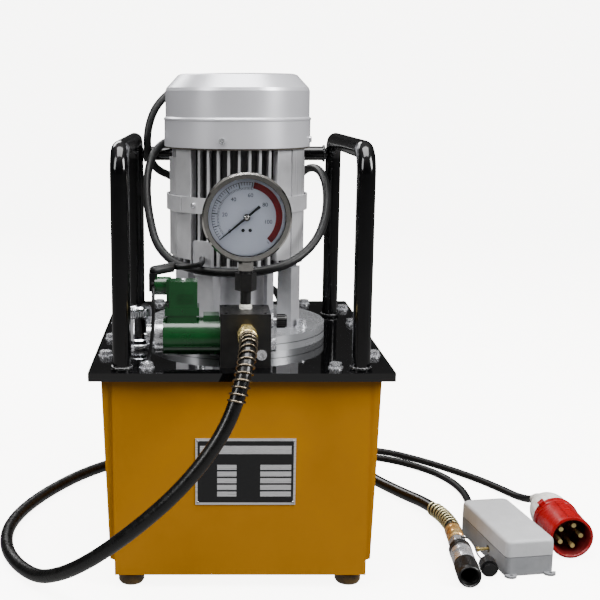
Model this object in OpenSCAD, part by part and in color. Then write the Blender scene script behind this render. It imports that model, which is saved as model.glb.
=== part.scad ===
// Electric hydraulic power unit: oil tank, vertical motor on a lantern, solenoid valve
// block with pressure gauge, carrying frame, pressure hose and two electric cables.
// Millimetres, +Z up, origin on the floor under the centre of the top plate.

/* [Tank] */
// Height of the rubber feet
foot_h = 17; // [14:1:22]
// Width of the folded front and rear panels
panel_w = 306; // [290:2:320]
// Depth of the tank, front face to rear face
tank_d = 424; // [400:2:430]
// Thickness of the tank's sheet steel
sheet = 3; // [2:0.5:4]

/* [Top plate] */
// Width of the top plate
plate_w = 360; // [350:2:380]
// Depth of the top plate
plate_d = 450; // [440:2:470]
// Height of the plate's upper face above the floor
plate_top = 274; // [268:1:280]
// Height of the plate's rim
plate_t = 10; // [10:1:12]
// Diameter of the screws that hold the plate
bolt_d = 8; // [6:1:8]

/* [Motor] */
// Radius of the fan cowl
cowl_r = 96; // [92:1:98]
// Radius over the tips of the cooling fins
fin_r = 86; // [82:1:88]
// Height of the cowl's lower edge above the floor
cowl_z = 527; // [520:1:530]
// Radius of the mounting flange
flange_r = 119; // [112:1:122]
// Thickness of the mounting flange
flange_t = 19; // [16:1:22]
// Diameter of the motor shaft
shaft_d = 19; // [16:1:20]

/* [Carrying frame] */
// Diameter of the frame's tube
tube_d = 22; // [20:1:24]
// Height of the rails' centre line
rail_z = 530; // [515:1:534]
// Distance of each side of the frame from the middle
rail_x = 141; // [138:1:144]

/* [Gauge] */
// Outer radius of the gauge's bezel
gauge_r = 53; // [48:1:54]
// Height of the gauge's centre
gauge_z = 451; // [449:1:453]

/* [Hose and cables] */
// Outer diameter of the pressure hose
hose_d = 17; // [16:0.5:17]
// Outer diameter of the two electric cables
cable_d = 11; // [9:0.5:11]

/* [Hidden] */
$fn = 64;

motor_y = -5;
side_w = 332;            // tank width over the flared sides at the rim
side_low = 317;          // tank width over the flared sides at their lower end
rim_t = 3;
gasket_t = 1;
rim_z = plate_top - plate_t;            // underside of the plate's rim and of the tank's rim
flange_top = plate_top + flange_t;
shield_z = 371;          // underside of the motor body, top of the lantern
housing_z = 377;
bolt_x = 166;
bolt_front_y = 200;
bolt_rows = [-140, -45, 52, 155];
lug_r = 80;              // radius of the lantern's four pillars
lug_angles = [-30, 60, 150, 240];
front_leg_y = -205;
rear_leg_y = 108;
bend_r = 26;
// valve block
block_x = [-25, 35];
block_y = [-200, -140];
block_top = 339;
valve_y = -170;
valve_z = 307;           // centre line of the solenoid and the spool
coil_r = 23;
outlet = [6, -200, 318];
gauge_x = 6;
gauge_y = -165;
// routes of the free cords, centre lines
hose_r = hose_d / 2;
hose_route = [[6, -238, 318], [6, -246, 318], [5, -266, 313], [1, -286, 295], [-7, -298, 268],
    [-18, -304, 240], [-34, -308, 212], [-56, -309, 182], [-84, -306, 150], [-116, -298, 118],
    [-150, -284, 86], [-184, -264, 56], [-216, -238, 31], [-246, -208, 14], [-274, -172, 9],
    [-296, -130, 8.5], [-308, -86, 8.5], [-311, -40, 8.5], [-304, 10, 8.5], [-287, 64, 8.5],
    [-263, 116, 8.5], [-234, 164, 8.5], [-196, 208, 8.5], [-148, 241, 8.5], [-90, 259, 8.5],
    [-28, 264, 8.5], [32, 262, 8.5], [90, 254, 8.5], [140, 238, 8.5], [180, 212, 8.5], [207, 175, 8.5],
    [227, 130, 8.5], [252, 84, 9], [276, 38, 11.2], [290, -6, 12.6], [293.8, -40, 14],
    [294.2, -56, 14.5], [293, -70, 14.5]];
guard_front_end = 4;     // the front guard covers the route's points 0 to this one
guard_rear_start = 33;   // the rear guard covers the points from this one to the last
power_route = [[-64, 105, 478], [-76, 105, 478], [-94, 103, 481], [-111, 96, 491], [-121, 88, 509],
    [-123, 85, 532], [-119, 90, 557], [-108, 100, 580], [-86, 112, 600], [-58, 120, 608],
    [-28, 125, 608], [-2, 129, 598], [10, 131, 577], [8, 130, 554], [-8, 128, 537], [-32, 124, 531],
    [-58, 116, 530.5], [-80, 104, 531], [-97, 85, 528], [-108, 62, 520], [-115, 38, 508],
    [-119, 12, 489], [-119, -16, 463], [-114, -44, 434], [-104, -72, 406], [-84, -96, 387],
    [-57, -112, 379], [-28, -120, 376], [2, -124, 376], [32, -122, 379], [60, -114, 386],
    [84, -99, 399], [102, -78, 417], [113, -52, 439], [118, -24, 461], [118, 6, 480], [113, 36, 492],
    [104, 66, 493], [94, 94, 482], [86, 118, 458], [82, 138, 426], [84, 160, 388], [90, 186, 350],
    [97, 214, 312], [102, 236, 272], [107, 248, 230], [113, 257, 184], [121, 268, 136], [132, 279, 92],
    [150, 289, 52], [175, 297, 24], [204, 299, 10], [236, 292, 5.5], [270, 274, 5.5], [302, 247, 5.5],
    [332, 216, 5.5], [360, 182, 5.5], [386, 146, 5.5], [407, 110, 5.5], [422, 76, 7], [430, 46, 14],
    [432, 20, 25], [432, 8, 29], [432, -6, 29.5]];
control_route = [[20, 112, 384], [20, 112, 372], [22, 117, 352], [28, 130, 330], [38, 150, 313],
    [50, 176, 304], [62, 203, 298], [73, 227, 284], [81, 243, 260], [86, 251, 226], [91, 256, 188],
    [98, 259, 150], [108, 262, 112], [121, 265, 76], [140, 268, 44], [163, 268, 20], [188, 265, 8],
    [214, 260, 5.5], [243, 251, 5.5], [270, 235, 5.5], [295, 213, 5.5], [317, 187, 5.5],
    [333, 158, 5.5], [343, 126, 5.5], [347, 94, 5.5], [346, 64, 5.5], [342.5, 38, 6], [339, 15, 9.5],
    [338, -4, 12.5], [340.2, -18.1, 13]];
lead_d = 7;
solenoid_route = [[-80, -152, 388], [-72, -152, 388], [-62, -149, 388], [-54, -142, 388],
    [-49, -132, 388], [-47, -120, 388], [-46.5, -106, 388], [-46.5, -86, 388]];
earth_d = 4;
earth_route = [[-104, -181, 368], [-104, -185, 368], [-104, -191, 363], [-104, -195, 353],
    [-104, -196, 338], [-105, -197, 320], [-107, -197, 302], [-110, -196, 288], [-112, -191, 279],
    [-112, -186, 277]];
// pieces that lie on the floor
coupler_at = [293, -70, 14.5];
coupler_turn = -95;      // heading of the coupler's mouth in the XY plane
box_at = [354, -105, 0];
box_turn = 9;
plug_at = [432, -6, 29.5];
plug_turn = -90;

// ---- shared shapes ----
function unit(v) = v / norm(v);
function heading(p, i) = unit(p[min(i + 1, len(p) - 1)] - p[max(i - 1, 0)]);
function across(t, last) = unit(last - t * (last * t));
function frames(p, i = 0, last = undef) = let(t = heading(p, i),
    side = is_undef(last) ? across(t, abs(t[2]) < 0.8 ? [0, 0, 1] : [1, 0, 0]) : across(t, last))
    i == len(p) - 1 ? [side] : concat([side], frames(p, i + 1, side));
function ring(c, t, a, r, sides) = let(b = cross(t, a))
    [for (k = [0 : sides - 1]) c + r * (cos(360 * k / sides) * a + sin(360 * k / sides) * b)];
function slice(p, from, to) = [for (i = [from : to]) p[i]];

// A solid round cord along the points p
module cord(p, r, sides) {
    n = len(p);
    side = frames(p);
    pts = [for (i = [0 : n - 1]) each ring(p[i], heading(p, i), side[i], r, sides)];
    polyhedron(pts, concat(
        [[for (k = [sides - 1 : -1 : 0]) k]],
        [for (i = [0 : n - 2], k = [0 : sides - 1]) [i * sides + k, i * sides + (k + 1) % sides,
            (i + 1) * sides + (k + 1) % sides, (i + 1) * sides + k]],
        [[for (k = [0 : sides - 1]) (n - 1) * sides + k]]));
}

// A hollow sleeve along the points p
module sleeve(p, r_in, r_out, sides) {
    n = len(p);
    side = frames(p);
    outer = [for (i = [0 : n - 1]) each ring(p[i], heading(p, i), side[i], r_out, sides)];
    inner = [for (i = [0 : n - 1]) each ring(p[i], heading(p, i), side[i], r_in, sides)];
    m = n * sides;
    e = (n - 1) * sides;
    polyhedron(concat(outer, inner), concat(
        [for (i = [0 : n - 2], k = [0 : sides - 1]) [i * sides + k, i * sides + (k + 1) % sides,
            (i + 1) * sides + (k + 1) % sides, (i + 1) * sides + k]],
        [for (i = [0 : n - 2], k = [0 : sides - 1]) [m + (i + 1) * sides + k,
            m + (i + 1) * sides + (k + 1) % sides, m + i * sides + (k + 1) % sides,
            m + i * sides + k]],
        [for (k = [0 : sides - 1]) [k, m + k, m + (k + 1) % sides, (k + 1) % sides]],
        [for (k = [0 : sides - 1]) [e + k, e + (k + 1) % sides, m + e + (k + 1) % sides,
            m + e + k]]));
}

module disc(r, z0, z1) { translate([0, 0, z0]) cylinder(h = z1 - z0, r = r); }
module tube(r, hole, z0, z1) { difference() { disc(r, z0, z1); disc(hole, z0 - 1, z1 + 1); } }
module slab(x, y, z) { translate([x[0], y[0], z[0]]) cube([x[1] - x[0], y[1] - y[0], z[1] - z[0]]); }
module along_x(x, y, z) { translate([x, y, z]) rotate([0, 90, 0]) children(); }
module towards_front(p) { translate(p) rotate([90, 0, 0]) children(); }
module rounded_rect(w, d, r) {
    union() {
        square([w - 2 * r, d], center = true);
        square([w, d - 2 * r], center = true);
        for (x = [-1, 1], y = [-1, 1]) translate([x * (w / 2 - r), y * (d / 2 - r)]) circle(r);
    }
}
module at_bolts() {
    for (x = [-1, 1], y = bolt_rows) translate([x * bolt_x, y, 0]) children();
    for (x = [-112, 112], y = [-bolt_front_y, bolt_front_y]) translate([x, y, 0]) children();
}
module at_lugs() {
    translate([0, motor_y, 0]) for (a = lug_angles) rotate([0, 0, a]) translate([lug_r, 0, 0]) children();
}
module on_motor() { translate([0, motor_y, 0]) children(); }

// ---- tank ----
module tank_shell() color([0.86, 0.58, 0.05]) {
    low = foot_h;
    inner_d = tank_d - 2 * sheet;
    // front panel, floor and rear panel are one folded sheet
    for (y = [-tank_d / 2, tank_d / 2 - sheet]) slab([-panel_w / 2, panel_w / 2], [y, y + sheet],
        [low, rim_z + 0.01]);
    slab([-panel_w / 2, panel_w / 2], [-tank_d / 2, tank_d / 2], [low, low + sheet]);
    // side panels lean outwards towards the rim
    for (s = [-1, 1]) rotate([90, 0, 0]) translate([0, 0, -inner_d / 2 - 0.01]) linear_extrude(inner_d + 0.02)
        polygon([[s * (panel_w / 2 - 4), low + 0.5], [s * panel_w / 2, low + 0.5],
            [s * panel_w / 2, low + 18], [s * side_low / 2, low + 20],
            [s * side_w / 2, rim_z + 0.01], [s * (side_w / 2 - sheet), rim_z + 0.01],
            [s * (side_low / 2 - sheet), low + 23], [s * (panel_w / 2 - 4), low + 21]]);
    // cheeks that close the front and rear corners
    for (s = [-1, 1], y = [-tank_d / 2 + sheet, tank_d / 2 - 2 * sheet]) rotate([90, 0, 0])
        translate([0, 0, -y - sheet]) linear_extrude(sheet) polygon([[s * (panel_w / 2 - 6), low + 20.5],
            [s * side_low / 2, low + 20.5], [s * side_w / 2, rim_z + 0.01],
            [s * (panel_w / 2 - 6), rim_z + 0.01]]);
    // rim that the plate is screwed to
    difference() {
        translate([0, 0, rim_z]) linear_extrude(rim_t) difference() {
            square([plate_w - 8, plate_d - 8], center = true);
            square([panel_w - 4, tank_d - 28], center = true);
        }
        at_bolts() disc(bolt_d / 2 + 0.1, rim_z - 1, rim_z + rim_t + 1);
    }
}
module tank_feet() color([0.2, 0.15, 0.06]) for (x = [-134, 134], y = [-190, 190])
    translate([x, y, 0]) rotate_extrude() polygon([[0, 0], [14, 0], [16, 3], [16, foot_h - 4],
        [13, foot_h], [0, foot_h]]);
module drain_plug() color("silver") {
    y = tank_d / 2;
    translate([0, y, foot_h + 20]) rotate([-90, 0, 0]) disc(11, 0, 2.5);
    translate([0, y, foot_h + 20]) rotate([-90, 0, 0]) cylinder(h = 9, r = 9, $fn = 6);
}
module tank_gasket() color([0.12, 0.12, 0.12]) difference() {
    translate([0, 0, rim_z + rim_t]) linear_extrude(gasket_t) difference() {
        square([plate_w - 10, plate_d - 10], center = true);
        square([panel_w - 4, tank_d - 28], center = true);
    }
    at_bolts() disc(bolt_d / 2 + 0.1, rim_z, plate_top);
}
module top_plate() color([0.05, 0.05, 0.06]) difference() {
    translate([0, 0, rim_z]) linear_extrude(plate_t) rounded_rect(plate_w, plate_d, 3);
    slab([-plate_w / 2 + 4, plate_w / 2 - 4], [-plate_d / 2 + 4, plate_d / 2 - 4],
        [rim_z - 1, rim_z + rim_t + gasket_t]);
    at_bolts() disc(bolt_d / 2 + 0.1, rim_z, plate_top + 1);
    on_motor() disc(44, rim_z, plate_top + 1);
    translate([-128, -90, 0]) disc(12.1, rim_z, plate_top + 1);
    at_lugs() disc(5, rim_z, plate_top + 1);
}
module plate_bolts() color("silver") at_bolts() {
    disc(bolt_d / 2, rim_z + 0.1, plate_top + 3);
    difference() {
        disc(9, plate_top, plate_top + 1.6);
        disc(bolt_d / 2 - 0.5, plate_top - 1, plate_top + 2);
    }
    translate([0, 0, plate_top + 1.6]) cylinder(h = 5.3, r = 7.5, $fn = 6);
}
module data_plate() color([0.75, 0.75, 0.75]) {
    slab([-54.5, 65.5], [-tank_d / 2 - 1, -tank_d / 2], [108, 191]);
}

// ---- carrying frame ----
// One side: front leg, rail and rear leg of bent tube, welded to two foot pads
module side_frame(x) {
    r = tube_d / 2;
    top = rail_z - bend_r;
    for (y = [front_leg_y, rear_leg_y]) translate([x, y, 0]) disc(r, plate_top + 3, top);
    for (y = [front_leg_y, rear_leg_y]) translate([x, y, 0]) disc(r + 1.5, plate_top, plate_top + 3);
    translate([x, front_leg_y + bend_r, rail_z]) rotate([-90, 0, 0])
        cylinder(h = rear_leg_y - front_leg_y - 2 * bend_r, r = r);
    translate([x, front_leg_y + bend_r, top]) rotate([90, 0, 90]) rotate([0, 0, 90])
        rotate_extrude(angle = 90) translate([bend_r, 0]) circle(r);
    translate([x, rear_leg_y - bend_r, top]) rotate([90, 0, 90])
        rotate_extrude(angle = 90) translate([bend_r, 0]) circle(r);
}
module handle_left() color([0.04, 0.04, 0.04]) side_frame(-rail_x);
module handle_right() color([0.04, 0.04, 0.04]) side_frame(rail_x);
module handle_crossbar() color([0.04, 0.04, 0.04]) difference() {
    along_x(-rail_x, rear_leg_y, cowl_z - 16) cylinder(h = 2 * rail_x, r = tube_d / 2 - 1);
    for (x = [-rail_x, rail_x]) translate([x, rear_leg_y, 0]) disc(tube_d / 2 + 2.2, plate_top, rail_z + 20);
}

// ---- motor ----
module mounting_flange() color([0.78, 0.78, 0.8]) difference() {
    on_motor() disc(flange_r, plate_top, flange_top);
    on_motor() disc(40, plate_top - 1, flange_top + 1);
    at_lugs() disc(4.2, plate_top - 1, flange_top + 1);
}
module flange_screws() color("silver") at_lugs() translate([17, 0, 0]) {
    disc(8, flange_top, flange_top + 1.6);
    difference() {
        disc(6.5, flange_top + 1.6, flange_top + 9.6);
        translate([0, 0, flange_top + 5]) cylinder(h = 6, r = 3.4, $fn = 6);
    }
}
module lower_shield() color([0.8, 0.8, 0.82]) difference() {
    union() {
        on_motor() disc(82, shield_z, housing_z);
        on_motor() disc(37, flange_top, shield_z + 1);
        on_motor() for (a = lug_angles) rotate([0, 0, a]) slab([68, 88], [-13, 13], [flange_top, shield_z + 1]);
        on_motor() for (a = [240]) rotate([0, 0, a]) slab([66, 93], [-13, 13], [shield_z - 5, 410]);
    }
    on_motor() disc(31, plate_top, shield_z - 11);
    on_motor() disc(26, plate_top, housing_z + 1);
    on_motor() disc(fin_r + 0.3, housing_z + 0.01, 420);
}
module fin_profile() {
    difference() {
        union() {
            circle(76);
            for (a = [0 : 9 : 351]) rotate(a) translate([0, -1.6]) square([fin_r, 3.2]);
            // two broad pads carry the through bolts and the clamping band
            for (a = [-30, 150]) intersection() {
                rotate(a) translate([60, -17]) square([40, 34]);
                circle(91);
            }
        }
        circle(70);
    }
}
module motor_housing() color([0.8, 0.8, 0.82]) on_motor() {
    translate([0, 0, housing_z]) linear_extrude(cowl_z + 4 - housing_z) fin_profile();
    // upper bearing shield
    tube(71, 23, cowl_z - 12, cowl_z + 4);
}
module motor_band() color([0.85, 0.85, 0.86]) on_motor() difference() {
    disc(93.4, 445, 465);
    disc(91.2, 444, 466);
}
module fan_cowl() color([0.84, 0.84, 0.86]) on_motor() difference() {
    rotate_extrude() polygon([[cowl_r - 2.5, cowl_z], [cowl_r, cowl_z], [cowl_r, cowl_z + 33],
        [cowl_r + 0.8, cowl_z + 34.5], [cowl_r + 0.8, cowl_z + 36], [cowl_r - 1.5, cowl_z + 38],
        [cowl_r - 1.5, cowl_z + 71], [cowl_r - 3, cowl_z + 75], [78, cowl_z + 91],
        [74, cowl_z + 92.5], [0, cowl_z + 92.5], [0, cowl_z + 90], [73, cowl_z + 90],
        [cowl_r - 6, cowl_z + 73], [cowl_r - 4, cowl_z + 70]]);
    // air inlet slots in the top
    for (a = [0 : 20 : 340]) rotate([0, 0, a]) slab([28, 66], [-2.5, 2.5], [cowl_z + 85, cowl_z + 100]);
    for (a = [60, 150, 240, 330]) rotate([0, 0, a + 17]) along_x(cowl_r - 6, 0, cowl_z + 9) cylinder(h = 12, r = 2.2);
}
module cowl_screws() color("silver") on_motor() for (a = [60, 150, 240, 330]) rotate([0, 0, a + 17]) {
    along_x(cowl_r - 20, 0, cowl_z + 9) cylinder(h = 20, r = 2);
    difference() {
        along_x(cowl_r, 0, cowl_z + 9) cylinder(h = 2.4, r = 4);
        slab([cowl_r + 1, cowl_r + 4], [-0.5, 0.5], [cowl_z + 6, cowl_z + 12]);
    }
    // rib of the shield that the screw goes into
    slab([fin_r + 0.2, cowl_r - 4], [-5, 5], [cowl_z + 4.2, cowl_z + 14]);
}
module stator() color([0.5, 0.35, 0.2]) on_motor() {
    tube(69.9, 42, 395, 500);
    tube(62, 46, 500, 512);
    tube(62, 46, 383, 395);
}
module rotor() color([0.6, 0.6, 0.62]) on_motor() tube(41.4, shaft_d / 2, 395, 500);
module motor_shaft() color([0.7, 0.7, 0.72]) on_motor() disc(shaft_d / 2, 322, cowl_z + 70);
module motor_bearings() color([0.65, 0.65, 0.68]) on_motor() {
    tube(26, shaft_d / 2 + 0.05, 361, 376);
    tube(23, shaft_d / 2 + 0.05, cowl_z - 12, cowl_z + 2);
}
module cooling_fan() color([0.15, 0.15, 0.15]) on_motor() {
    tube(18, shaft_d / 2, cowl_z + 22, cowl_z + 62);
    tube(78, 17, cowl_z + 22, cowl_z + 25);
    for (a = [0 : 45 : 315]) rotate([0, 0, a]) slab([17, 76], [-1.5, 1.5], [cowl_z + 24, cowl_z + 58]);
}
module shaft_coupling() color([0.5, 0.5, 0.52]) on_motor() difference() {
    disc(22, 304, 342);
    disc(shaft_d / 2, 322, 343);
    disc(8, 303, 322);
}
module terminal_box() color([0.75, 0.75, 0.77]) {
    difference() {
        slab([-42, 42], [80, 130], [392, 492]);
        on_motor() disc(93.6, 390, 500);
        slab([-37, 37], [104, 126], [397, 487]);
    }
    // foot between the box and the motor's fins
    difference() {
        slab([-20, 20], [76, 90], [400, 440]);
        on_motor() disc(fin_r + 0.2, 390, 445);
    }
    // cable glands
    along_x(-64, 105, 478) cylinder(h = 22.5, r = 9);
    translate([20, 112, 384]) cylinder(h = 8.5, r = 9);
}

// ---- pump, inside the tank ----
module pump_body() color([0.4, 0.4, 0.42]) on_motor() difference() {
    union() {
        disc(43.5, 252, plate_top);
        disc(70, 190, 252);
        // radial cylinders
        for (a = [0 : 60 : 300]) rotate([0, 0, a]) along_x(60, 0, 216) cylinder(h = 24, r = 14);
        disc(30, 160, 190);
    }
    disc(8.05, 150, plate_top + 1);
    disc(34, 196, 236);
    disc(20, 252, plate_top + 1);
}
module pump_shaft() color([0.7, 0.7, 0.72]) on_motor() {
    disc(8, 165, 322);
    // eccentric that drives the radial pistons
    translate([4, 0, 0]) disc(24, 204, 228);
}
module suction_strainer() color([0.7, 0.65, 0.5]) on_motor() {
    tube(34, 10, 70, 140);
    disc(36, 66, 70);
    tube(14, 9, 140, 160);
}
module filler_neck() color([0.75, 0.75, 0.78]) translate([-128, -90, 0]) {
    tube(12, 8, rim_z - 20, plate_top + 2);
    tube(16, 8, plate_top, plate_top + 6);
    tube(11, 8, plate_top + 6, plate_top + 14);
}
module breather_cap() color([0.85, 0.85, 0.88]) translate([-128, -90, 0]) rotate_extrude()
    polygon([[11.05, plate_top + 6.3], [17, plate_top + 6.3], [17, plate_top + 12],
        [15, plate_top + 13.5], [15, plate_top + 40], [17, plate_top + 42],
        [17, plate_top + 51], [14, plate_top + 55], [0, plate_top + 56], [0, plate_top + 20],
        [11.05, plate_top + 20]]);

// ---- valve block ----
module valve_block() color([0.06, 0.06, 0.06]) difference() {
    slab(block_x, block_y, [plate_top, block_top]);
    // spool bore
    along_x(block_x[0] - 1, valve_y, valve_z) cylinder(h = 46, r = 6);
    // socket of the solenoid's core tube
    along_x(block_x[0] - 1, valve_y, valve_z) cylinder(h = 6, r = 9.95);
    // seat of the relief cartridge
    along_x(block_x[1] - 12, valve_y, 325) cylinder(h = 13, r = 6);
    // pressure outlet and gauge port
    towards_front([outlet[0], block_y[0] + 14, outlet[2]]) cylinder(h = 15, r = 6);
    translate([gauge_x, gauge_y, block_top - 10]) cylinder(h = 11, r = 6.5);
    for (x = [block_x[0] + 7, block_x[1] - 7], y = [block_y[0] + 7, block_y[1] - 7])
        translate([x, y, block_top - 8]) cylinder(h = 9, r = 4.6);
}
module solenoid_coil() color([0.1, 0.34, 0.14]) difference() {
    union() {
        along_x(-93, valve_y, valve_z) cylinder(h = 68, r = coil_r);
        slab([-45, -26], [valve_y - 12, valve_y + 12], [valve_z + 15, valve_z + 27]);
        slab([-88, -53], [valve_y - 14, valve_y + 14], [valve_z + 15, 334]);
    }
    along_x(-95, valve_y, valve_z) cylinder(h = 75, r = 10);
}
module core_tube() color([0.7, 0.7, 0.72]) difference() {
    along_x(-112, valve_y, valve_z) cylinder(h = 92, r = 9.95);
    along_x(-100, valve_y, valve_z) cylinder(h = 60, r = 7.05);
    along_x(-113, valve_y, valve_z) cylinder(h = 95, r = 3.55);
}
module plunger() color([0.6, 0.6, 0.62]) {
    along_x(-94, valve_y, valve_z) cylinder(h = 46, r = 7);
    // manual override pin, reached through the end nut
    along_x(-116, valve_y, valve_z) cylinder(h = 23, r = 3.5);
    along_x(-49, valve_y, valve_z) cylinder(h = 31, r = 3.5);
}
module valve_spool() color([0.75, 0.75, 0.78]) {
    along_x(-18, valve_y, valve_z) cylinder(h = 10, r = 5.95);
    along_x(-8, valve_y, valve_z) cylinder(h = 8, r = 3.5);
    along_x(0, valve_y, valve_z) cylinder(h = 12, r = 5.95);
}
module coil_end_nut() color([0.82, 0.82, 0.82]) difference() {
    union() {
        along_x(-103, valve_y, valve_z) cylinder(h = 9.7, r = 20);
        along_x(-113, valve_y, valve_z) cylinder(h = 10.5, r = 14);
    }
    along_x(-112, valve_y, valve_z) cylinder(h = 20, r = 10);
    along_x(-114, valve_y, valve_z) cylinder(h = 20, r = 4.2);
}
module connector() color([0.1, 0.32, 0.14]) {
    slab([-91, -50], [valve_y - 15, valve_y + 15], [334, 344]);
    slab([-86, -52], [valve_y - 14, valve_y + 14], [344, 375]);
    slab([-89, -84], [valve_y - 13, valve_y + 13], [352, 377]);
    along_x(-103, valve_y, 368) cylinder(h = 16, r = 11);
    // boot that turns the solenoid lead over the top of the connector
    translate([-103, valve_y, 368]) rotate([0, -90, 0]) cylinder(h = 4, r = 9);
    slab([-110, -100], [valve_y - 7, valve_y + 7], [362, 384]);
    hull() {
        translate([-104, valve_y + 2, 386]) sphere(6, $fn = 24);
        along_x(-82, valve_y + 18, 388) cylinder(h = 2, r = 6, $fn = 24);
    }
}
module relief_valve() color([0.75, 0.75, 0.75]) {
    along_x(block_x[1] - 12, valve_y, 325) difference() {
        union() {
            cylinder(h = 12, r = 6);
            translate([0, 0, 12]) cylinder(h = 4, r = 9, $fn = 6);
            translate([0, 0, 16]) cylinder(h = 4, r = 4);
        }
        translate([0, 0, 8]) cylinder(h = 13, r = 2.05);
    }
    along_x(block_x[1], valve_y, 295) cylinder(h = 8, r = 8, $fn = 6);
}
module relief_knob() color([0.05, 0.05, 0.05]) {
    along_x(block_x[1] - 2, valve_y, 325) cylinder(h = 13, r = 2);
    along_x(block_x[1] + 8.3, valve_y, 325) {
        cylinder(h = 12, r = 7.5);
        for (a = [0 : 30 : 330]) rotate([0, 0, a]) translate([6.6, -1, 0]) cube([1.8, 2, 10]);
    }
}

// ---- gauge ----
module gauge_adapter() color([0.08, 0.08, 0.08]) translate([gauge_x, gauge_y, 0]) {
    disc(6.5, block_top - 10, 364);
    translate([0, 0, 362]) cylinder(h = 21, r = 13, $fn = 6);
    disc(8, 383, 386);
}
module gauge_case() color([0.7, 0.68, 0.62]) {
    translate([gauge_x, 0, gauge_z]) rotate([90, 0, 0]) difference() {
        disc(gauge_r - 4, 146, 182);
        disc(gauge_r - 6, 149, 183);
    }
    translate([gauge_x, gauge_y, 386]) cylinder(h = 11.8, r = 9, $fn = 6);
    translate([gauge_x, gauge_y, 395]) cylinder(h = 10, r = 5.5);
}
module gauge_bezel() color([0.8, 0.78, 0.72]) translate([gauge_x, 0, gauge_z]) rotate([90, 0, 0])
    rotate_extrude() polygon([[gauge_r - 3.9, 174], [gauge_r, 174], [gauge_r, 184],
        [gauge_r - 2, 187], [gauge_r - 7, 187], [gauge_r - 7, 184.6], [gauge_r - 3.9, 184.6]]);
module gauge_dial() color([0.9, 0.9, 0.92]) translate([gauge_x, 0, gauge_z]) rotate([90, 0, 0])
    tube(gauge_r - 6.1, 2.3, 174, 176);
module gauge_lens() color([0.9, 0.95, 1, 0.3]) translate([gauge_x, 0, gauge_z]) rotate([90, 0, 0])
    disc(gauge_r - 4, 182.4, 184.4);
// The pointer rests at zero on the dial, at the lower left
module gauge_pointer() color([0.02, 0.02, 0.02]) translate([gauge_x, 0, gauge_z]) rotate([90, 0, 0])
    rotate([0, 0, -140]) {
        disc(2.2, 165, 180);
        disc(4, 177.6, 180.6);
        translate([0, 0, 178]) linear_extrude(1) polygon([[-20, -1.9], [-12, -1.2], [0, -1.6],
            [42, -0.3], [42, 0.3], [0, 1.6], [-12, 1.2], [-20, 1.9]]);
    }

// ---- hose ----
module hose_fitting() color([0.8, 0.66, 0.3]) towards_front(outlet) {
    disc(6, -12, 0);
    translate([0, 0, 0]) cylinder(h = 9, r = 11, $fn = 6);
    disc(8, 9, 12);
    disc(11.5, 12, 38);
}
module hose() color([0.05, 0.05, 0.05]) cord(hose_route, hose_r, 12);
module hose_guards() color([0.55, 0.5, 0.35]) {
    sleeve(slice(hose_route, 0, guard_front_end), hose_r + 0.4, hose_r + 3, 12);
    sleeve(slice(hose_route, guard_rear_start, len(hose_route) - 1), hose_r + 0.4, hose_r + 2.4, 12);
}
module on_coupler() { translate(coupler_at) rotate([0, 90, coupler_turn]) children(); }
module coupler_body() color([0.75, 0.7, 0.55]) on_coupler() {
    disc(11.5, 0, 34);
    disc(9, 34, 40);
    translate([0, 0, 40]) cylinder(h = 12, r = 12.5, $fn = 6);
    difference() {
        disc(11, 52, 138);
        disc(7, 84, 139);
    }
}
module coupler_sleeve() color([0.1, 0.1, 0.1]) on_coupler() difference() {
    union() {
        disc(14.2, 60, 144);
        disc(14.5, 62, 74);
        disc(14.5, 108, 142);
    }
    disc(11.06, 59, 145);
}
module dust_cap() color([0.08, 0.08, 0.08]) translate([314, -166, 11]) rotate([0, 90, coupler_turn]) difference() {
    union() {
        disc(10.9, 0, 16);
        disc(8, 16, 22);
    }
    disc(8.6, -1, 12);
}

// ---- electric cables ----
module power_cable() color([0.06, 0.06, 0.06]) cord(power_route, cable_d / 2, 10);
module on_plug() { translate(plug_at) rotate([0, 90, plug_turn]) children(); }
module plug_handle() color([0.85, 0.85, 0.8]) on_plug() rotate_extrude() polygon([[0, 0], [9, 0],
    [11, 3], [17, 9], [23, 20], [26, 34], [26.5, 56], [0, 56]]);
module plug_shroud() color([0.75, 0.1, 0.1]) on_plug() difference() {
    union() {
        disc(27.8, 56, 124);
        disc(28.8, 56, 64);
        // locating key along the top
        slab([-28.5, -22], [-5, 5], [64, 122]);
    }
    disc(24.5, 76, 125);
}
module plug_pins() color([0.8, 0.78, 0.7]) on_plug() for (a = [0 : 72 : 288]) rotate([0, 0, a + 18])
    translate([14.5, 0, 0]) disc(3, 76, 116);
module control_cable() color([0.06, 0.06, 0.06]) cord(control_route, cable_d / 2, 10);
module on_box() { translate(box_at) rotate([0, 0, box_turn]) children(); }
module control_box() color([0.55, 0.56, 0.58]) {
    on_box() {
        difference() {
            linear_extrude(24) rounded_rect(65, 144, 7);
            translate([0, 0, 3]) linear_extrude(30) rounded_rect(59, 138, 4);
            // opening for the toggle's lever
            along_x(-34, -18, 14) cylinder(h = 6, r = 5);
        }
        // corner ears with screw slots
        for (x = [-1, 1]) difference() {
            translate([x * 26, -72, 0]) disc(8, 0, 3);
            translate([x * 26, -75, 0]) disc(2.2, -1, 4);
            slab([-40, 40], [-71.9, -60], [-1, 4]);
        }
    }
    // cable gland
    on_box() translate([0, 88, 13]) rotate([90, 0, 0]) cylinder(h = 16.5, r = 8);
}
module box_lid() color([0.72, 0.73, 0.75]) on_box() translate([0, 0, 24.5]) difference() {
    linear_extrude(22) rounded_rect(65, 144, 7);
    translate([0, 0, -1]) linear_extrude(20) rounded_rect(59, 138, 4);
}
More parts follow.
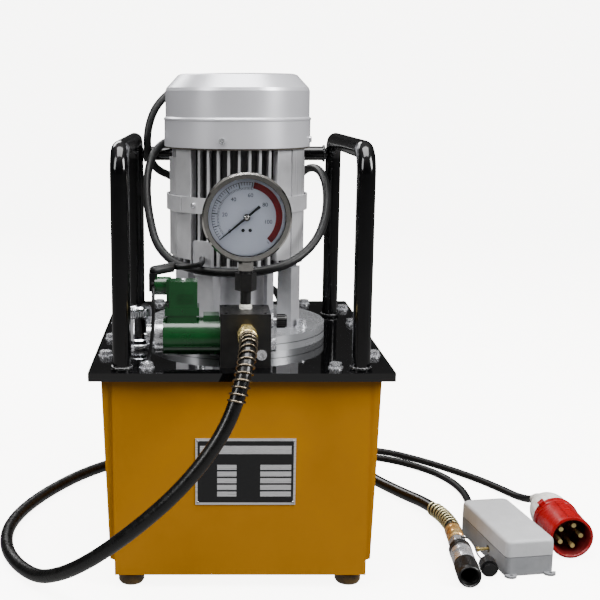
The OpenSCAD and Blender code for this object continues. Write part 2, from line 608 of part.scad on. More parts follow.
module box_toggle() color([0.75, 0.65, 0.35]) on_box() along_x(-50, -18, 14) rotate_extrude()
    polygon([[0, 0], [2, 0.3], [3.4, 2], [3.4, 4.6], [2, 6.5], [2, 20.7], [4.6, 21.2],
        [4.6, 25.5], [3, 26.5], [0, 26.5]]);
module solenoid_lead() color([0.06, 0.06, 0.06]) cord(solenoid_route, lead_d / 2, 8);
module earth_lead() color([0.06, 0.06, 0.06]) {
    cord(earth_route, earth_d / 2, 8);
}

tank_shell();
tank_feet();
drain_plug();
tank_gasket();
top_plate();
plate_bolts();
handle_left();
handle_right();
handle_crossbar();
data_plate();
mounting_flange();
flange_screws();
lower_shield();
motor_housing();
motor_band();
fan_cowl();
cowl_screws();
stator();
rotor();
motor_shaft();
motor_bearings();
cooling_fan();
shaft_coupling();
terminal_box();
pump_body();
pump_shaft();
suction_strainer();
filler_neck();
breather_cap();
valve_block();
solenoid_coil();
core_tube();
plunger();
valve_spool();
coil_end_nut();
connector();
relief_valve();
relief_knob();
gauge_adapter();
gauge_case();
gauge_bezel();
gauge_dial();
gauge_lens();
gauge_pointer();
hose_fitting();
hose();
hose_guards();
coupler_body();
coupler_sleeve();
dust_cap();
power_cable();
plug_handle();
plug_shroud();
plug_pins();
control_cable();
control_box();
box_lid();
box_toggle();
solenoid_lead();
earth_lead();
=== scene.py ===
import bpy
import bmesh
import math
import random
from mathutils import Vector, Matrix


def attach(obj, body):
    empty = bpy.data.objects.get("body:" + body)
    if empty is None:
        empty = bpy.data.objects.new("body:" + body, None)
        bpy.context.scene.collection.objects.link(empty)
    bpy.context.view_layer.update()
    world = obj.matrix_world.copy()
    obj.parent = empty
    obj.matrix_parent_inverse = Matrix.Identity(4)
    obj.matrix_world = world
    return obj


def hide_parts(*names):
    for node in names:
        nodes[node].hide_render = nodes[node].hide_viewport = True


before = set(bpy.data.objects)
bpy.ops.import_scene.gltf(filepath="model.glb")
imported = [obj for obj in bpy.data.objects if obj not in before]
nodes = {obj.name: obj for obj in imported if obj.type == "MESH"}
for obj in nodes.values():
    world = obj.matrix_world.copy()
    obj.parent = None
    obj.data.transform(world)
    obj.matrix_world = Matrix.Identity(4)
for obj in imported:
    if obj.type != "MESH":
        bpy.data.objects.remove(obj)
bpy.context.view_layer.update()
MM = 0.001
UP = (0, 0, 1)
FRONT = (0, -1, 0)
MOTOR = (0, -5, 0)


# ---- camera ----
camera_data = bpy.data.cameras.new("camera")
camera = bpy.data.objects.new("camera", camera_data)
bpy.context.scene.collection.objects.link(camera)
bpy.context.scene.camera = camera
camera.location = (-0.048, -1.426, 0.590)
camera.rotation_euler = (math.radians(79.21), 0.0, 0.0)
camera_data.lens = 63.9
camera_data.sensor_width = 36.0
camera_data.shift_x = 0.1653
camera_data.shift_y = 0.0


# ---- mesh helpers ----
def new_mesh(name, verts, faces, smooth=True):
    mesh = bpy.data.meshes.new(name)
    mesh.from_pydata([tuple(v) for v in verts], [], faces)
    mesh.validate()
    mesh.update()
    if smooth:
        for polygon in mesh.polygons:
            polygon.use_smooth = True
    obj = bpy.data.objects.new(name, mesh)
    bpy.context.scene.collection.objects.link(obj)
    return obj


def smooth_path(points, step):
    """Points every `step` along a Catmull-Rom curve through `points`, in metres."""
    pts = [Vector(p) for p in points]
    ext = [pts[0] * 2 - pts[1]] + pts + [pts[-1] * 2 - pts[-2]]
    dense = []
    for i in range(1, len(ext) - 2):
        a, b, c, d = ext[i - 1], ext[i], ext[i + 1], ext[i + 2]
        count = max(4, int((c - b).length / 0.002))
        for k in range(count):
            t = k / count
            dense.append(0.5 * ((2 * b) + (c - a) * t + (2 * a - 5 * b + 4 * c - d) * t * t
                                + (3 * b - a - 3 * c + d) * t * t * t))
    dense.append(pts[-1])
    out = [dense[0]]
    walked = 0.0
    for a, b in zip(dense, dense[1:]):
        walked += (b - a).length
        if walked >= step:
            out.append(b)
            walked = 0.0
    if (out[-1] - dense[-1]).length > step * 0.4:
        out.append(dense[-1])
    else:
        out[-1] = dense[-1]
    return out


def path_frames(points):
    """(tangent, side, up) at every point, turned as little as possible along the way."""
    n = len(points)
    tangents = []
    for i in range(n):
        tangents.append((points[min(i + 1, n - 1)] - points[max(i - 1, 0)]).normalized())
    start = Vector((0, 0, 1)) if abs(tangents[0].z) < 0.8 else Vector((1, 0, 0))
    side = (start - tangents[0] * start.dot(tangents[0])).normalized()
    out = []
    for t in tangents:
        side = (side - t * side.dot(t)).normalized()
        out.append((t, side, t.cross(side)))
    return out


def ring_faces(rings, sides):
    """Quads that join each ring of `sides` points to the next."""
    faces = []
    for i in range(rings - 1):
        for k in range(sides):
            n = (k + 1) % sides
            faces.append((i * sides + k, i * sides + n, (i + 1) * sides + n, (i + 1) * sides + k))
    return faces


def ring_caps(rings, sides):
    """One face over the first ring and one over the last."""
    last = (rings - 1) * sides
    return [tuple(range(sides - 1, -1, -1)), tuple(last + k for k in range(sides))]


def across(axis):
    """Two unit vectors that are square to the unit vector `axis` and to each other."""
    helper = Vector((0, 0, 1)) if abs(axis.z) < 0.9 else Vector((1, 0, 0))
    a = (helper - axis * helper.dot(axis)).normalized()
    return a, axis.cross(a)


def tube(name, points, radius, sides=24):
    """A solid round cord along the points; radius is a number or a function of 0..1 along it."""
    verts = []
    last = len(points) - 1
    for i, (p, (t, a, b)) in enumerate(zip(points, path_frames(points))):
        r = radius(i / last) if callable(radius) else radius
        for k in range(sides):
            angle = 2 * math.pi * k / sides
            verts.append(p + (a * math.cos(angle) + b * math.sin(angle)) * r)
    return new_mesh(name, verts, ring_faces(len(points), sides) + ring_caps(len(points), sides))


def coil(name, points, radius, wire, pitch, sides):
    """A wire of diameter `wire` wound round the path at `radius`, a turn every `pitch`."""
    frames = path_frames(points)
    lengths = [0.0]
    for a, b in zip(points, points[1:]):
        lengths.append(lengths[-1] + (b - a).length)
    total = lengths[-1]
    turns = total / pitch
    count = int(turns * 20)
    line = []
    j = 0
    for i in range(count + 1):
        s = total * i / count
        while j < len(lengths) - 2 and lengths[j + 1] < s:
            j += 1
        f = (s - lengths[j]) / (lengths[j + 1] - lengths[j])
        p = points[j].lerp(points[j + 1], f)
        a = frames[j][1].lerp(frames[j + 1][1], f).normalized()
        t = frames[j][0].lerp(frames[j + 1][0], f).normalized()
        b = t.cross(a)
        angle = 2 * math.pi * turns * i / count
        line.append(p + (a * math.cos(angle) + b * math.sin(angle)) * radius)
    return tube(name, line, wire / 2, sides)


def mm(points):
    """Points in millimetres as points in metres."""
    return [(p[0] * MM, p[1] * MM, p[2] * MM) for p in points]


# ---- materials ----
class Nodes:
    """A small helper that builds one material's nodes."""

    def __init__(self, name):
        self.material = bpy.data.materials.new(name)
        self.material.use_nodes = True
        self.tree = self.material.node_tree
        self.shader = self.tree.nodes["Principled BSDF"]
        self.where = self.tree.nodes.new("ShaderNodeTexCoord")

    def add(self, kind, **values):
        node = self.tree.nodes.new(kind)
        for key, value in values.items():
            node.inputs[key].default_value = value
        return node

    def link(self, a, b):
        self.tree.links.new(a, b)

    def mapped(self, scale):
        """Object coordinates, stretched by `scale` along each axis."""
        mapping = self.add("ShaderNodeMapping")
        mapping.inputs["Scale"].default_value = scale
        self.link(self.where.outputs["Object"], mapping.inputs["Vector"])
        return mapping.outputs["Vector"]

    def noise(self, scale, detail=4.0, roughness=0.55, stretch=(1, 1, 1)):
        noise = self.add("ShaderNodeTexNoise", Scale=scale, Detail=detail, Roughness=roughness)
        self.link(self.mapped(stretch), noise.inputs["Vector"])
        return noise.outputs["Fac"]

    def ramp(self, value, low, high, color_a, color_b):
        ramp = self.tree.nodes.new("ShaderNodeValToRGB")
        ramp.color_ramp.elements[0].position = low
        ramp.color_ramp.elements[1].position = high
        ramp.color_ramp.elements[0].color = (*color_a, 1)
        ramp.color_ramp.elements[1].color = (*color_b, 1)
        self.link(value, ramp.inputs["Fac"])
        return ramp.outputs["Color"]

    def spread(self, value, low, high):
        """The value from 0.3..0.7 spread over low..high."""
        node = self.tree.nodes.new("ShaderNodeMapRange")
        node.inputs["From Min"].default_value = 0.3
        node.inputs["From Max"].default_value = 0.7
        node.inputs["To Min"].default_value = low
        node.inputs["To Max"].default_value = high
        self.link(value, node.inputs["Value"])
        return node.outputs["Result"]

    def bump(self, value, strength, distance):
        node = self.add("ShaderNodeBump", Strength=strength, Distance=distance)
        self.link(value, node.inputs["Height"])
        self.link(node.outputs["Normal"], self.shader.inputs["Normal"])


def finish_of(name, color, other, rough, metal=0.0, scale=60.0, stretch=(1, 1, 1), grain=0.0,
              grain_scale=900.0, grain_size=0.0002, coat=0.0, specular=0.5, stains=0.0,
              stain_color=(0.2, 0.17, 0.13)):
    """A finish with colour cloud, roughness variation, fine grain and a little dirt."""
    m = Nodes(name)
    cloud = m.noise(scale, stretch=stretch)
    color_out = m.ramp(cloud, 0.32, 0.68, color, other)
    if stains > 0:
        patch = m.noise(scale * 0.23 + 7, detail=6.0, roughness=0.7)
        mix = m.tree.nodes.new("ShaderNodeMix")
        mix.data_type = "RGBA"
        m.link(m.ramp(patch, 0.52, 0.78, (0, 0, 0), (stains, stains, stains)), mix.inputs["Factor"])
        m.link(color_out, mix.inputs["A"])
        mix.inputs["B"].default_value = (*stain_color, 1)
        color_out = mix.outputs["Result"]
    m.link(color_out, m.shader.inputs["Base Color"])
    fine = m.noise(scale * 3.1, detail=3.0, stretch=stretch)
    m.link(m.spread(fine, rough[0], rough[1]), m.shader.inputs["Roughness"])
    m.shader.inputs["Metallic"].default_value = metal
    m.shader.inputs["Specular IOR Level"].default_value = specular
    if coat > 0:
        m.shader.inputs["Coat Weight"].default_value = coat
        m.shader.inputs["Coat Roughness"].default_value = 0.04
    if grain > 0:
        m.bump(m.noise(grain_scale, detail=2.0, stretch=stretch), grain, grain_size)
    return m.material


yellow = finish_of(
    "yellow enamel", (0.325, 0.134, 0.0005), (0.37, 0.155, 0.0005), (0.30, 0.40), scale=9, grain=0.15,
    grain_scale=420, grain_size=0.0002, specular=0.25, stains=0.10, stain_color=(0.24, 0.08, 0.0))
black_gloss = finish_of(
    "black gloss paint", (0.0012, 0.0012, 0.0014), (0.0022, 0.0022, 0.0025), (0.03, 0.06), scale=22,
    grain=0.04, grain_scale=60, grain_size=0.0002, specular=0.8)
tube_gloss = finish_of(
    "black tube paint", (0.0012, 0.0012, 0.0014), (0.0024, 0.0024, 0.0027), (0.10, 0.16), scale=30,
    grain=0.1, grain_scale=160, grain_size=0.0002, specular=0.5)
cowl_silver = finish_of(
    "satin silver paint", (0.60, 0.60, 0.635), (0.64, 0.64, 0.675), (0.30, 0.36), metal=0.5, scale=9,
    grain=0.2, grain_scale=1700, grain_size=0.00006)
cast = finish_of(
    "cast aluminium", (0.66, 0.66, 0.68), (0.76, 0.76, 0.78), (0.30, 0.42), metal=0.6, scale=50,
    grain=0.3, grain_scale=700, grain_size=0.0002, stains=0.04)
cast_dull = finish_of(
    "dull cast aluminium", (0.42, 0.42, 0.44), (0.52, 0.52, 0.54), (0.34, 0.46), metal=0.6, scale=50,
    grain=0.3, grain_scale=700, grain_size=0.0002, stains=0.06)
extruded = finish_of(
    "extruded aluminium", (0.66, 0.66, 0.68), (0.74, 0.74, 0.76), (0.26, 0.34), metal=0.55, scale=30,
    stretch=(6, 6, 0.05), grain=0.08, grain_scale=500, grain_size=0.00005)


def paint_fin_shade(material, axis_y, low, high, dark):
    """Painted shade: darker metal near the axis at x = 0, y = axis_y, darkest at the fins' roots, for the
    shade between the motor's fins, in metres.
    """
    tree = material.node_tree
    shader = tree.nodes["Principled BSDF"]
    color = shader.inputs["Base Color"].links[0].from_socket
    value = tree.nodes.new("ShaderNodeTexCoord").outputs["Object"]
    for operation, operand in (("SUBTRACT", (0, axis_y, 0)), ("MULTIPLY", (1, 1, 0)), ("LENGTH", None)):
        step = tree.nodes.new("ShaderNodeVectorMath")
        step.operation = operation
        tree.links.new(value, step.inputs[0])
        if operand:
            step.inputs[1].default_value = operand
        value = step.outputs["Vector" if operand else "Value"]
    spread = tree.nodes.new("ShaderNodeMapRange")
    for key, amount in (("From Min", low), ("From Max", high), ("To Min", dark)):
        spread.inputs[key].default_value = amount
    tree.links.new(value, spread.inputs["Value"])
    mix = tree.nodes.new("ShaderNodeMix")
    mix.data_type = "RGBA"
    mix.blend_type = "MULTIPLY"
    mix.inputs["Factor"].default_value = 1.0
    tree.links.new(color, mix.inputs["A"])
    tree.links.new(spread.outputs["Result"], mix.inputs["B"])
    tree.links.new(mix.outputs["Result"], shader.inputs["Base Color"])


# Painted shade between the motor's fins: full colour at the fin tips, a tenth of it at the fin roots
FIN_ROOT = 0.0770
FIN_TIP = 0.0855
paint_fin_shade(extruded, MOTOR[1] * MM, FIN_ROOT, FIN_TIP, 0.10)
machined = finish_of(
    "machined aluminium", (0.50, 0.51, 0.53), (0.56, 0.57, 0.59), (0.22, 0.28), metal=0.7, scale=8,
    stretch=(1, 1, 3))
zinc = finish_of(
    "bright zinc", (0.70, 0.71, 0.74), (0.82, 0.82, 0.85), (0.18, 0.30), metal=0.8, scale=240, grain=0.15,
    grain_scale=1800, grain_size=0.00006, stains=0.06)
steel = finish_of(
    "ground steel", (0.46, 0.46, 0.48), (0.62, 0.62, 0.64), (0.18, 0.34), metal=1.0, scale=160,
    stretch=(1, 1, 6), grain=0.2, grain_scale=1500, grain_size=0.00008, stains=0.05)
chrome = finish_of(
    "chrome", (0.72, 0.73, 0.76), (0.82, 0.83, 0.86), (0.03, 0.08), metal=1.0, scale=90, grain=0.05,
    grain_scale=500, grain_size=0.0001)
bezel_steel = finish_of(
    "polished stainless", (0.70, 0.68, 0.64), (0.82, 0.80, 0.76), (0.07, 0.15), metal=1.0, scale=120,
    grain=0.08, grain_scale=900, grain_size=0.0001)
blackened = finish_of(
    "black oxide steel", (0.0030, 0.0030, 0.0032), (0.0065, 0.0062, 0.0060), (0.28, 0.46), scale=80,
    grain=0.45, grain_scale=900, grain_size=0.0002, stains=0.12, stain_color=(0.016, 0.014, 0.011))
green = finish_of(
    "green enamel", (0.0035, 0.034, 0.0085), (0.0045, 0.044, 0.011), (0.16, 0.24), scale=30, grain=0.12,
    grain_scale=250, grain_size=0.0002, specular=0.6, stains=0.06, stain_color=(0.002, 0.02, 0.006))
brass = finish_of(
    "yellow zinc brass", (0.62, 0.44, 0.12), (0.82, 0.68, 0.32), (0.16, 0.28), metal=0.8, scale=110,
    grain=0.2, grain_scale=1200, grain_size=0.0001, stains=0.2, stain_color=(0.45, 0.16, 0.04))
ferrule_gold = finish_of(
    "orange passivated zinc", (0.70, 0.26, 0.02), (0.90, 0.72, 0.34), (0.16, 0.28), metal=0.7, scale=55,
    grain=0.15, grain_scale=1000, grain_size=0.0001)
bronze_wire = finish_of(
    "dark bronze wire", (0.10, 0.078, 0.05), (0.36, 0.30, 0.22), (0.18, 0.34), metal=1.0, scale=130,
    grain=0.2, grain_scale=900, grain_size=0.0001)
zinc_wire = finish_of(
    "yellow zinc wire", (0.62, 0.55, 0.27), (0.80, 0.74, 0.46), (0.22, 0.34), metal=0.75, scale=130,
    grain=0.2, grain_scale=900, grain_size=0.0001)
hose_rubber = finish_of(
    "hose cover", (0.0022, 0.0022, 0.0022), (0.0045, 0.0045, 0.0042), (0.20, 0.36), scale=45, grain=0.5,
    grain_scale=380, grain_size=0.0003, stains=0.15, stain_color=(0.012, 0.012, 0.011))
cable_rubber = finish_of(
    "cable sheath", (0.0014, 0.0015, 0.0016), (0.0035, 0.0036, 0.0038), (0.40, 0.52), scale=60, grain=0.5,
    grain_scale=500, grain_size=0.0003, specular=0.3, stains=0.2, stain_color=(0.010, 0.010, 0.0095))
black_plastic = finish_of(
    "black plastic", (0.003, 0.003, 0.0033), (0.006, 0.006, 0.0064), (0.26, 0.42), scale=90, grain=0.4,
    grain_scale=1100, grain_size=0.0002)
ivory = finish_of(
    "ivory plastic", (0.74, 0.735, 0.70), (0.80, 0.795, 0.76), (0.24, 0.36), scale=40, grain=0.2,
    grain_scale=700, grain_size=0.0001, stains=0.06)
red = finish_of(
    "red plastic", (0.23, 0.0, 0.0015), (0.29, 0.001, 0.003), (0.22, 0.32), scale=40, grain=0.2,
    grain_scale=700, grain_size=0.0001, stains=0.08, stain_color=(0.2, 0, 0))
# Darker red for the inside of the plug's mouth: painted shade, for the shade that falls in the mouth
mouth_shade_red = finish_of(
    "painted shade red plastic", (0.085, 0.002, 0.003), (0.12, 0.004, 0.005), (0.35, 0.5), scale=60, grain=0.3,
    grain_scale=700, grain_size=0.0001)
lid_grey = finish_of(
    "light grey plastic", (0.40, 0.405, 0.415), (0.45, 0.455, 0.465), (0.42, 0.56), scale=60, grain=0.6,
    grain_scale=1300, grain_size=0.0002, stains=0.06)
base_grey = finish_of(
    "grey plastic", (0.20, 0.205, 0.215), (0.24, 0.245, 0.255), (0.42, 0.56), scale=60, grain=0.6,
    grain_scale=1300, grain_size=0.0002, stains=0.06)
dial_paint = finish_of(
    "dial paint", (0.40, 0.425, 0.49), (0.44, 0.465, 0.53), (0.45, 0.55), scale=18, grain=0.1,
    grain_scale=900, grain_size=0.00005)
dial_black = finish_of(
    "dial print", (0.002, 0.002, 0.0025), (0.004, 0.004, 0.0045), (0.45, 0.6), scale=300)
dial_red = finish_of("dial red", (0.15, 0.0, 0.002), (0.18, 0.001, 0.003), (0.4, 0.5), scale=300)
copper = finish_of(
    "windings", (0.30, 0.12, 0.05), (0.48, 0.22, 0.10), (0.3, 0.5), metal=0.8, scale=200, stretch=(1, 1,
    12), grain=0.6, grain_scale=700, grain_size=0.0004)
gasket_rubber = finish_of(
    "gasket rubber", (0.030, 0.026, 0.020), (0.060, 0.050, 0.038), (0.6, 0.8), scale=300, grain=0.6,
    grain_scale=900, grain_size=0.0003)
amber_rubber = finish_of(
    "amber rubber", (0.055, 0.030, 0.006), (0.11, 0.062, 0.012), (0.25, 0.4), scale=120, grain=0.3,
    grain_scale=600, grain_size=0.0002)
iron = finish_of(
    "cast iron", (0.10, 0.10, 0.105), (0.17, 0.17, 0.175), (0.4, 0.6), metal=0.7, scale=120, grain=0.7,
    grain_scale=500, grain_size=0.0005)
plate_silver = finish_of(
    "data plate aluminium", (0.60, 0.60, 0.61), (0.70, 0.70, 0.71), (0.24, 0.36), metal=0.6, scale=30,
    stretch=(0.2, 8, 8), grain=0.15, grain_scale=900, grain_size=0.00005)
tape_white = finish_of(
    "thread tape", (0.70, 0.68, 0.60), (0.82, 0.80, 0.74), (0.4, 0.6), scale=220, grain=0.6,
    grain_scale=500, grain_size=0.0003)
weld = finish_of(
    "painted weld", (0.004, 0.004, 0.0045), (0.011, 0.011, 0.012), (0.12, 0.22), scale=200, grain=0.8,
    grain_scale=330, grain_size=0.0008, coat=0.5)

# The lens has a low index of refraction, so that reflections don't hide the dial
glass_nodes = Nodes("gauge glass")
glass_nodes.shader.inputs["Base Color"].default_value = (0.97, 0.98, 1.0, 1)
glass_nodes.shader.inputs["Transmission Weight"].default_value = 1.0
glass_nodes.shader.inputs["IOR"].default_value = 1.2
glass_nodes.shader.inputs["Metallic"].default_value = 0.0
glass_nodes.link(
    glass_nodes.spread(glass_nodes.noise(80.0), 0.0, 0.02), glass_nodes.shader.inputs["Roughness"])
glass = glass_nodes.material

# Each finish and the CAD nodes that have it
NODES_BY_FINISH = {
    yellow: "tank_shell",
    amber_rubber: "tank_feet",
    zinc: "drain_plug plate_bolts flange_screws cowl_screws coil_end_nut relief_valve coupler_body",
    gasket_rubber: "tank_gasket",
    black_gloss: "top_plate",
    tube_gloss: "handle_left handle_right handle_crossbar",
    plate_silver: "data_plate",
    machined: "mounting_flange",
    cast_dull: "lower_shield",
    extruded: "motor_housing",
    cast: "motor_band terminal_box",
    cowl_silver: "fan_cowl",
    copper: "stator",
    steel: "rotor motor_shaft motor_bearings shaft_coupling pump_shaft suction_strainer filler_neck "
           "core_tube plunger valve_spool",
    black_plastic: "cooling_fan relief_knob dust_cap",
    iron: "pump_body",
    chrome: "breather_cap",
    blackened: "valve_block gauge_adapter coupler_sleeve",
    green: "solenoid_coil connector",
    bezel_steel: "gauge_case gauge_bezel",
    dial_paint: "gauge_dial",
    glass: "gauge_lens",
    dial_black: "gauge_pointer",
    brass: "hose_fitting plug_pins box_toggle",
    hose_rubber: "hose",
    bronze_wire: "hose_guards",
    cable_rubber: "power_cable control_cable solenoid_lead earth_lead",
    ivory: "plug_handle",
    red: "plug_shroud",
    base_grey: "control_box",
    lid_grey: "box_lid",
}


def paint(obj, material):
    obj.data.materials.clear()
    obj.data.materials.append(material)


def soften(obj, width, segments=2, angle=32.0):
    """A small rounded edge wherever two faces meet at more than `angle` degrees."""
    bevel = obj.modifiers.new("edges", "BEVEL")
    bevel.width = width
    bevel.segments = segments
    bevel.limit_method = "ANGLE"
    bevel.angle_limit = math.radians(angle)
    bevel.use_clamp_overlap = True
    bevel.harden_normals = False


# Width of the rounded edges, in metres, and the nodes that have it
NODES_BY_EDGE = {
    0.0006: "tank_shell drain_plug plate_bolts flange_screws gauge_adapter dust_cap plug_shroud",
    0.0018: "top_plate",
    0.0002: "data_plate",
    0.0010: "mounting_flange lower_shield valve_block",
    0.0003: "motor_band",
    0.0015: "terminal_box",
    0.0008: "coil_end_nut plug_pins pump_body",
    0.0005: "relief_valve",
    0.0009: "solenoid_coil",
    0.0007: "control_box",
    0.0004: "relief_knob",
}
finish_of_node = {name: finish for finish, names in NODES_BY_FINISH.items() for name in names.split()}
edge_of_node = {name: width for width, names in NODES_BY_EDGE.items() for name in names.split()}
for name, node in nodes.items():
    paint(node, finish_of_node[name])
    for polygon in node.data.polygons:
        polygon.use_smooth = True
    if name in edge_of_node:
        soften(node, edge_of_node[name])
    node.data.set_sharp_from_angle(angle=math.radians(28))


def lathe(name, profile, origin, axis, turns=64, wave=None):
    """A turned piece: profile of (radius, along) in mm; wave(angle, along, r) changes the radius."""
    if profile[0][0] > 0 and profile[-1][0] > 0 and profile[0] != profile[-1]:
        profile = profile + [profile[0]]
    origin = Vector(origin) * MM
    axis = Vector(axis).normalized()
    a, b = across(axis)
    verts = []
    for r, h in profile:
        for k in range(turns):
            angle = 2 * math.pi * k / turns
            rr = wave(angle, h, r) if wave else r
            verts.append(origin + axis * (h * MM) + (a * math.cos(angle) + b * math.sin(angle)) * (rr * MM))
    faces = ring_faces(len(profile), turns)
    last = (len(profile) - 1) * turns
    if profile[0] == profile[-1]:
        verts = verts[:last]
        faces = [tuple(v - last if v >= last else v for v in f) for f in faces]
    else:
        faces += ring_caps(len(profile), turns)
    obj = new_mesh(name, verts, faces)
    joined = bmesh.new()
    joined.from_mesh(obj.data)
    bmesh.ops.remove_doubles(joined, verts=joined.verts, dist=1e-6)
    bmesh.ops.recalc_face_normals(joined, faces=joined.faces)
    joined.to_mesh(obj.data)
    joined.free()
    obj.data.set_sharp_from_angle(angle=math.radians(34))
    return obj


def extruded_shapes(name, shapes, place, low, high):
    """Flat shapes, each a list of (u, v) in mm, given thickness from low to high by place(u, v, w)."""
    verts = []
    faces = []
    for shape in shapes:
        base = len(verts)
        count = len(shape)
        for w in (low, high):
            for u, v in shape:
                verts.append(Vector(place(u, v, w)) * MM)
        faces.append(tuple(base + k for k in range(count - 1, -1, -1)))
        faces.append(tuple(base + count + k for k in range(count)))
        for k in range(count):
            n = (k + 1) % count
            faces.append((base + k, base + n, base + count + n, base + count + k))
    return new_mesh(name, verts, faces, smooth=False)


def add_piece(obj, body, material, replaces=None):
    """Paints a piece and tells the frame its body and the CAD node that it replaces."""
    paint(obj, material)
    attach(obj, body)
    if replaces:
        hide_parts(replaces)
    return obj


def turned(name, profile, origin, axis, turns, material, body="power_unit", replaces=None,
           wave=None):
    """A turned piece that rides on `body`."""
    add_piece(lathe(name, profile, origin, axis, turns, wave), body, material, replaces)


# ---- cords ----
hose_route = [[6, -238, 318], [6, -246, 318], [5, -266, 313], [1, -286, 295], [-7, -298, 268],
    [-18, -304, 240], [-34, -308, 212], [-56, -309, 182], [-84, -306, 150], [-116, -298, 118],
    [-150, -284, 86], [-184, -264, 56], [-216, -238, 31], [-246, -208, 14], [-274, -172, 9],
    [-296, -130, 8.5], [-308, -86, 8.5], [-311, -40, 8.5], [-304, 10, 8.5], [-287, 64, 8.5],
    [-263, 116, 8.5], [-234, 164, 8.5], [-196, 208, 8.5], [-148, 241, 8.5], [-90, 259, 8.5],
    [-28, 264, 8.5], [32, 262, 8.5], [90, 254, 8.5], [140, 238, 8.5], [180, 212, 8.5], [207, 175, 8.5],
    [227, 130, 8.5], [252, 84, 9], [276, 38, 11.2], [290, -6, 12.6], [293.8, -40, 14],
    [294.2, -56, 14.5], [293, -70, 14.5]]
power_route = [[-64, 105, 478], [-76, 105, 478], [-94, 103, 481], [-111, 96, 491], [-121, 88, 509],
    [-123, 85, 532], [-119, 90, 557], [-108, 100, 580], [-86, 112, 600], [-58, 120, 608],
    [-28, 125, 608], [-2, 129, 598], [10, 131, 577], [8, 130, 554], [-8, 128, 537], [-32, 124, 531],
    [-58, 116, 530.5], [-80, 104, 531], [-97, 85, 528], [-108, 62, 520], [-115, 38, 508],
    [-119, 12, 489], [-119, -16, 463], [-114, -44, 434], [-104, -72, 406], [-84, -96, 387],
    [-57, -112, 379], [-28, -120, 376], [2, -124, 376], [32, -122, 379], [60, -114, 386],
    [84, -99, 399], [102, -78, 417], [113, -52, 439], [118, -24, 461], [118, 6, 480], [113, 36, 492],
    [104, 66, 493], [94, 94, 482], [86, 118, 458], [82, 138, 426], [84, 160, 388], [90, 186, 350],
    [97, 214, 312], [102, 236, 272], [107, 248, 230], [113, 257, 184], [121, 268, 136], [132, 279, 92],
    [150, 289, 52], [175, 297, 24], [204, 299, 10], [236, 292, 5.5], [270, 274, 5.5], [302, 247, 5.5],
    [332, 216, 5.5], [360, 182, 5.5], [386, 146, 5.5], [407, 110, 5.5], [422, 76, 7], [430, 46, 14],
    [432, 20, 25], [432, 8, 29], [432, -6, 29.5]]
control_route = [[20, 112, 384], [20, 112, 372], [22, 117, 352], [28, 130, 330], [38, 150, 313],
    [50, 176, 304], [62, 203, 298], [73, 227, 284], [81, 243, 260], [86, 251, 226], [91, 256, 188],
    [98, 259, 150], [108, 262, 112], [121, 265, 76], [140, 268, 44], [163, 268, 20], [188, 265, 8],
    [214, 260, 5.5], [243, 251, 5.5], [270, 235, 5.5], [295, 213, 5.5], [317, 187, 5.5],
    [333, 158, 5.5], [343, 126, 5.5], [347, 94, 5.5], [346, 64, 5.5], [342.5, 38, 6], [339, 15, 9.5],
    [338, -4, 12.5], [340.2, -18.1, 13]]
solenoid_route = [[-80, -152, 388], [-72, -152, 388], [-62, -149, 388], [-54, -142, 388],
    [-49, -132, 388], [-47, -120, 388], [-46.5, -106, 388], [-46.5, -86, 388]]
earth_route = [[-104, -181, 368], [-104, -185, 368], [-104, -191, 363], [-104, -195, 353],
    [-104, -196, 338], [-105, -197, 320], [-107, -197, 302], [-110, -196, 288], [-112, -191, 279],
    [-112, -186, 277]]


def length_of(points):
    return sum((b - a).length for a, b in zip(points, points[1:]))


def make_cord(name, route, diameter, material, sides=20):
    line = smooth_path(mm(route), 0.006)
    piece = tube(name, line, diameter / 2, sides)
    add_piece(piece, "power_unit", material)
    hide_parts(name.replace("_line", ""))
    return line


def tapered(name, line, radius_a, radius_b, length, material, rib_count):
    """A moulded boot along the start of a cord, narrowing from radius_a to radius_b, in metres."""
    walked = 0.0
    dense = []
    for a, b in zip(line, line[1:]):
        steps = max(1, int((b - a).length / 0.001))
        for k in range(steps):
            dense.append(a.lerp(b, k / steps))
    part = [dense[0]]
    for p, q in zip(dense, dense[1:]):
        walked += (q - p).length
        part.append(q)
        if walked > length:
            break

    def radius(f):
        rib = 0.0007 * (0.5 + 0.5 * math.cos(2 * math.pi * rib_count * f)) * (1 - f)
        return radius_a + (radius_b - radius_a) * f + rib

    return add_piece(tube(name, part, radius, 28), "power_unit", material)


hose_points = make_cord(
    "hose_line", hose_route, 0.017, hose_rubber,
    sides=28)
power_points = make_cord(
    "power_cable_line", power_route, 0.011, cable_rubber)
control_points = make_cord(
    "control_cable_line", control_route, 0.011, cable_rubber)
make_cord(
    "solenoid_lead_line", solenoid_route, 0.007, cable_rubber)
make_cord(
    "earth_lead_line", earth_route, 0.004, cable_rubber)

# Boots where the cords leave their housings
tapered("power_boot", power_points, 0.0084, 0.0060, 0.030, black_plastic, 6)
tapered("control_boot", control_points, 0.0084, 0.0060, 0.024, black_plastic, 5)
tapered("plug_boot", list(reversed(power_points)), 0.0092, 0.0060, 0.034, ivory, 5)
tapered(
    "box_boot", list(reversed(control_points)), 0.0078, 0.0060, 0.024, black_plastic, 5)


# ---- spring guards on the hose ----
def stretch_of(points, start, end):
    """The part of a path between two distances along it."""
    out = []
    walked = 0.0
    for a, b in zip(points, points[1:]):
        if start <= walked <= end:
            out.append(a)
        walked += (b - a).length
    return out


GUARD_RADIUS = 0.0098
GUARD_WIRE = 0.0024
hose_length = length_of(hose_points)
for name, start, end, pitch, wire_finish in (("front", 0.0, 0.098, 0.0078, bronze_wire),
                                             ("rear", hose_length - 0.088, hose_length, 0.0086, zinc_wire)):
    stretch = stretch_of(hose_points, start, end)
    guard = coil("hose_guard_" + name, stretch, GUARD_RADIUS, GUARD_WIRE, pitch, 10)
    add_piece(guard, "power_unit", wire_finish, "hose_guards")


